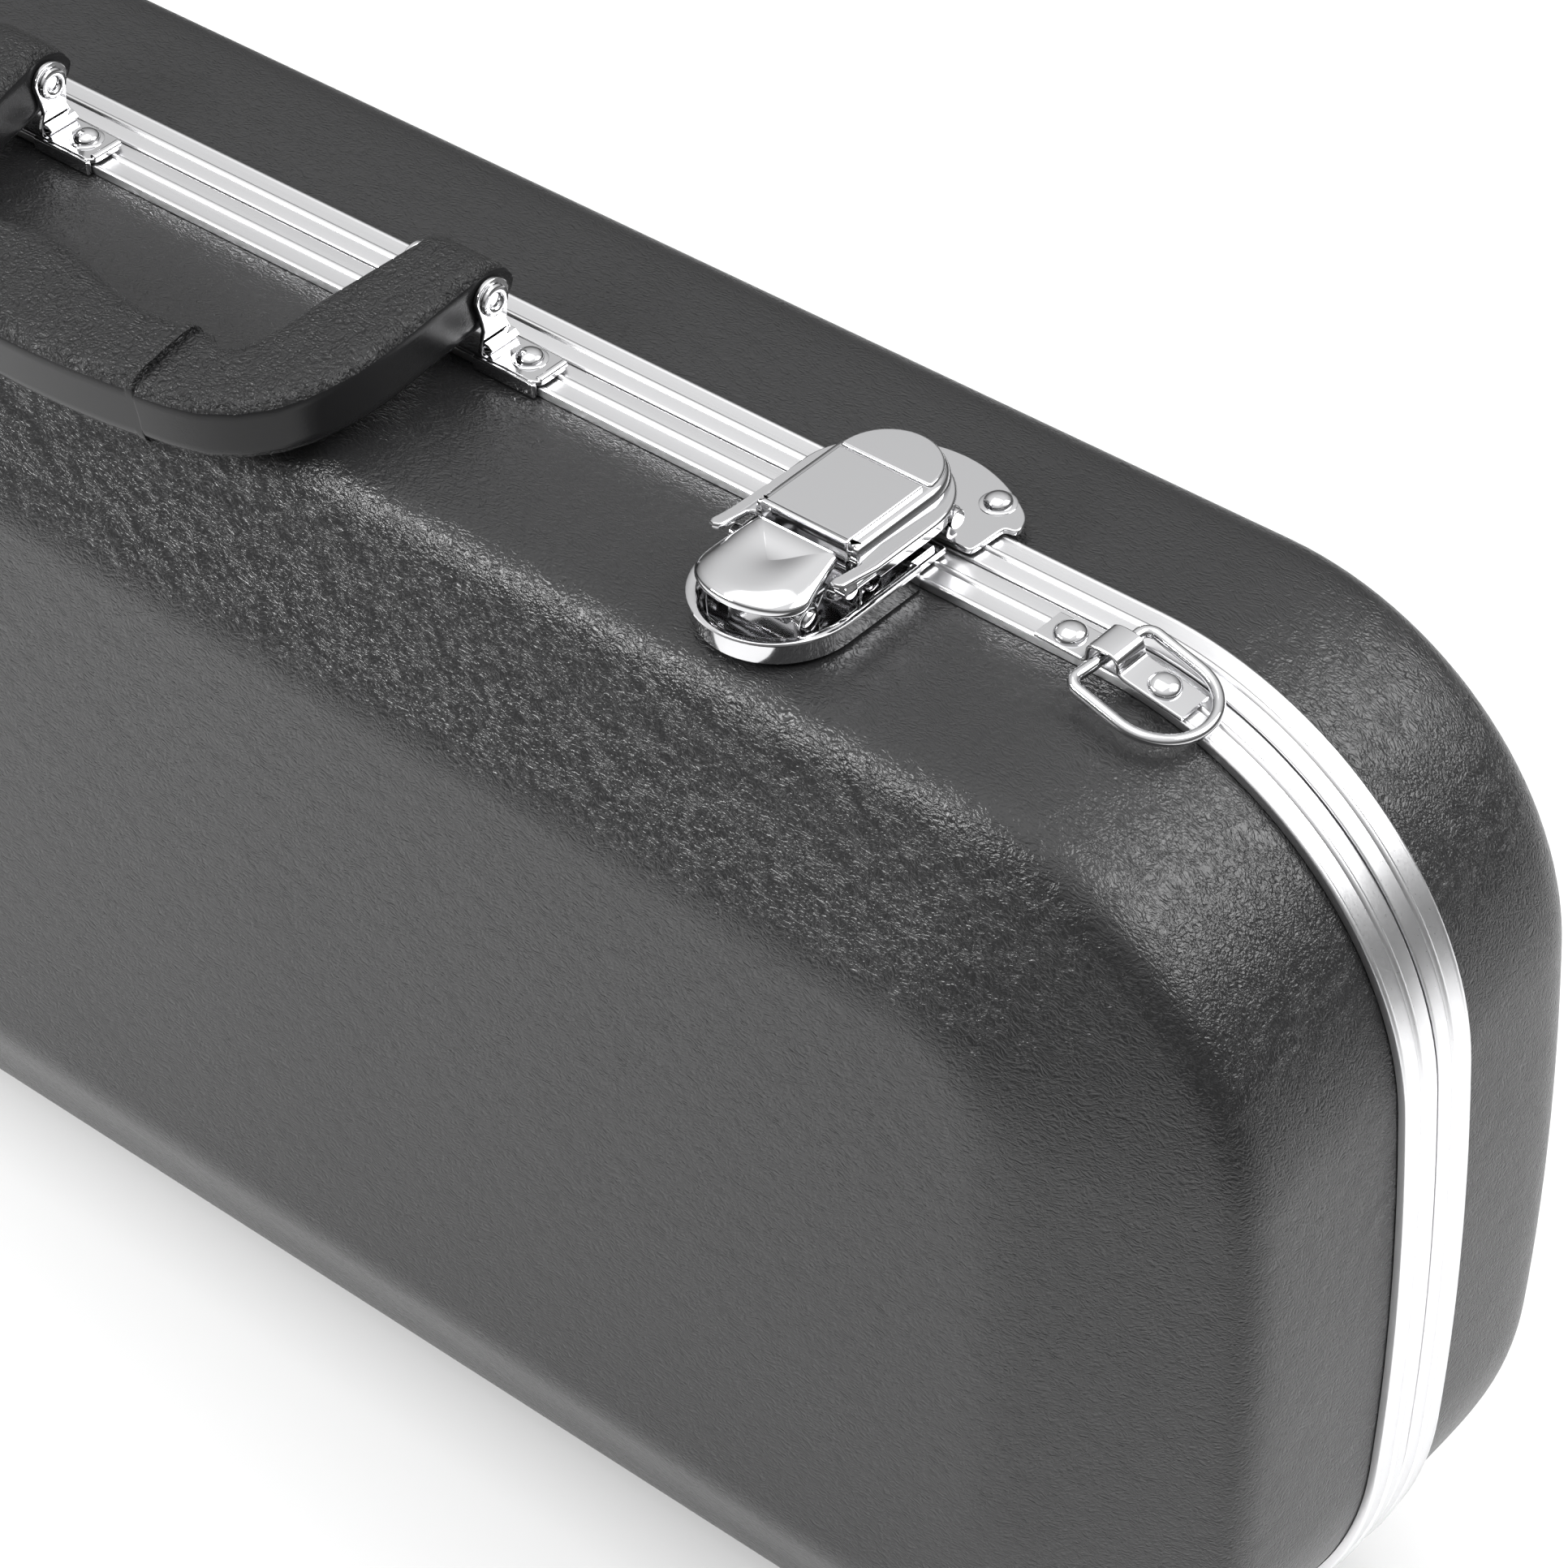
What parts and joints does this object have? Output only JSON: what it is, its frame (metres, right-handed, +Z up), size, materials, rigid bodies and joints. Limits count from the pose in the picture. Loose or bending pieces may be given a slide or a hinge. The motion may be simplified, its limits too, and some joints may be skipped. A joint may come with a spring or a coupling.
{
  "type": "violin case",
  "caption": "Hard-shell violin case with a hinged lid, carrying handle, draw latches, strap rings and a fitted plush interior.",
  "frame": {"origin": "centre of the bounding box in plan, on the ground under the feet, with the case standing on its hinge side", "axes": "+X towards the wide end, +Y towards the lid, +Z up towards the handle"},
  "size_m": [0.8112, 0.1508, 0.3054],
  "materials": {
    "shell_abs": "black ABS with a leather-like grain, semi-gloss",
    "valance": "satin anodised extrusion",
    "chrome": "bright chrome plate on pressed steel",
    "handle_plastic": "moulded black plastic, grained on top",
    "plush": "short plush over foam",
    "webbing": "woven webbing",
    "plush_board": "plush-covered board",
    "knob": "small turned knob",
    "spinner_plastic": "moulded black plastic",
    "foot_rubber": "moulded rubber"
  },
  "bodies": {
    "base": {"accessory_box": "plush_board", "base_feet": "foot_rubber", "base_shell": "shell_abs", "base_valance": "valance", "handle_bracket_left": "chrome", "handle_bracket_right": "chrome", "handle_bracket_rivets": "chrome", "handle_pin_left": "chrome", "handle_pin_right": "chrome", "hinge_base_leaf_left": "chrome", "hinge_base_leaf_right": "chrome", "hinge_base_rivets": "chrome", "hinge_pin_left": "chrome", "hinge_pin_right": "chrome", "latch_base_left": "chrome", "latch_base_right": "chrome", "latch_base_rivets": "chrome", "latch_cover_pin_left": "chrome", "latch_cover_pin_right": "chrome", "latch_tab_pin_left": "chrome", "latch_tab_pin_right": "chrome", "liner_floor": "plush", "liner_lower_side": "plush", "liner_upper_side": "plush", "neck_cradle": "plush", "neck_strap": "webbing", "ring_clip_left": "chrome", "ring_clip_right": "chrome", "ring_rivets_left": "chrome", "ring_rivets_right": "chrome", "side_tray": "plush_board"},
    "lid": {"bow_loop_lower": "plush", "bow_loop_upper": "plush", "bow_spinner_base_lower": "spinner_plastic", "bow_spinner_base_upper": "spinner_plastic", "hinge_lid_leaf_left": "chrome", "hinge_lid_leaf_right": "chrome", "hinge_lid_rivets": "chrome", "latch_strike_left": "chrome", "latch_strike_right": "chrome", "latch_strike_rivets": "chrome", "lid_feet": "foot_rubber", "lid_liner": "plush", "lid_pad": "plush", "lid_shell": "shell_abs", "lid_valance": "valance"},
    "handle": {"handle_grip": "handle_plastic"},
    "ring_right": {"strap_ring_right": "chrome"},
    "ring_left": {"strap_ring_left": "chrome"},
    "tab_right": {"latch_tab_right": "chrome"},
    "tab_left": {"latch_tab_left": "chrome"},
    "cover_right": {"latch_cover_right": "chrome"},
    "cover_left": {"latch_cover_left": "chrome"},
    "flap": {"accessory_lid": "plush_board", "accessory_knob": "knob"},
    "spinner_upper": {"bow_spinner_upper": "spinner_plastic"},
    "spinner_lower": {"bow_spinner_lower": "spinner_plastic"}
  },
  "joints": [
    {"name": "lid_hinge", "type": "hinge", "parent": "base", "child": "lid", "pos_m": [0.09863, 0.00314, 0.0045], "axis": [-1, 0, 0], "range_deg": [0, 110]},
    {"name": "handle_swing", "type": "hinge", "parent": "base", "child": "handle", "pos_m": [0.07563, -0.00286, 0.2974], "axis": [-1, 0, 0], "range_deg": [0, 160]},
    {"name": "strap_ring_right_swing", "type": "hinge", "parent": "base", "child": "ring_right", "pos_m": [0.32843, -0.00487, 0.2879], "axis": [0, -1, 0], "range_deg": [0, 120]},
    {"name": "strap_ring_left_swing", "type": "hinge", "parent": "base", "child": "ring_left", "pos_m": [-0.25072, -0.00487, 0.26473], "axis": [0, 1, 0], "range_deg": [0, 120]},
    {"name": "latch_tab_right_lift", "type": "hinge", "parent": "base", "child": "tab_right", "pos_m": [0.26313, -0.03687, 0.2897], "axis": [-1, 0, 0], "range_deg": [0, 35]},
    {"name": "latch_cover_right_rise", "type": "hinge", "parent": "base", "child": "cover_right", "pos_m": [0.26313, -0.01786, 0.2882], "axis": [1, 0, 0], "range_deg": [0, 25]},
    {"name": "latch_tab_left_lift", "type": "hinge", "parent": "base", "child": "tab_left", "pos_m": [-0.10787, -0.03687, 0.2897], "axis": [-1, 0, 0], "range_deg": [0, 35]},
    {"name": "latch_cover_left_rise", "type": "hinge", "parent": "base", "child": "cover_left", "pos_m": [-0.10787, -0.01786, 0.2882], "axis": [1, 0, 0], "range_deg": [0, 25]},
    {"name": "accessory_lid_hinge", "type": "hinge", "parent": "base", "child": "flap", "pos_m": [-0.15037, -0.00386, 0.2349], "axis": [1, 0, 0], "range_deg": [0, 100]},
    {"name": "bow_spinner_upper_turn", "type": "hinge", "parent": "lid", "child": "spinner_upper", "pos_m": [-0.31437, 0.02814, 0.1659], "axis": [0, 1, 0], "range_deg": [-90, 90]},
    {"name": "bow_spinner_lower_turn", "type": "hinge", "parent": "lid", "child": "spinner_lower", "pos_m": [-0.31437, 0.02814, 0.1259], "axis": [0, 1, 0], "range_deg": [-90, 90]}
  ],
  "couplings": [
    {"joint": "latch_tab_right_lift", "follows": "latch_cover_right_rise", "ratio": 1.4},
    {"joint": "latch_tab_left_lift", "follows": "latch_cover_left_rise", "ratio": 1.4}
  ]
}
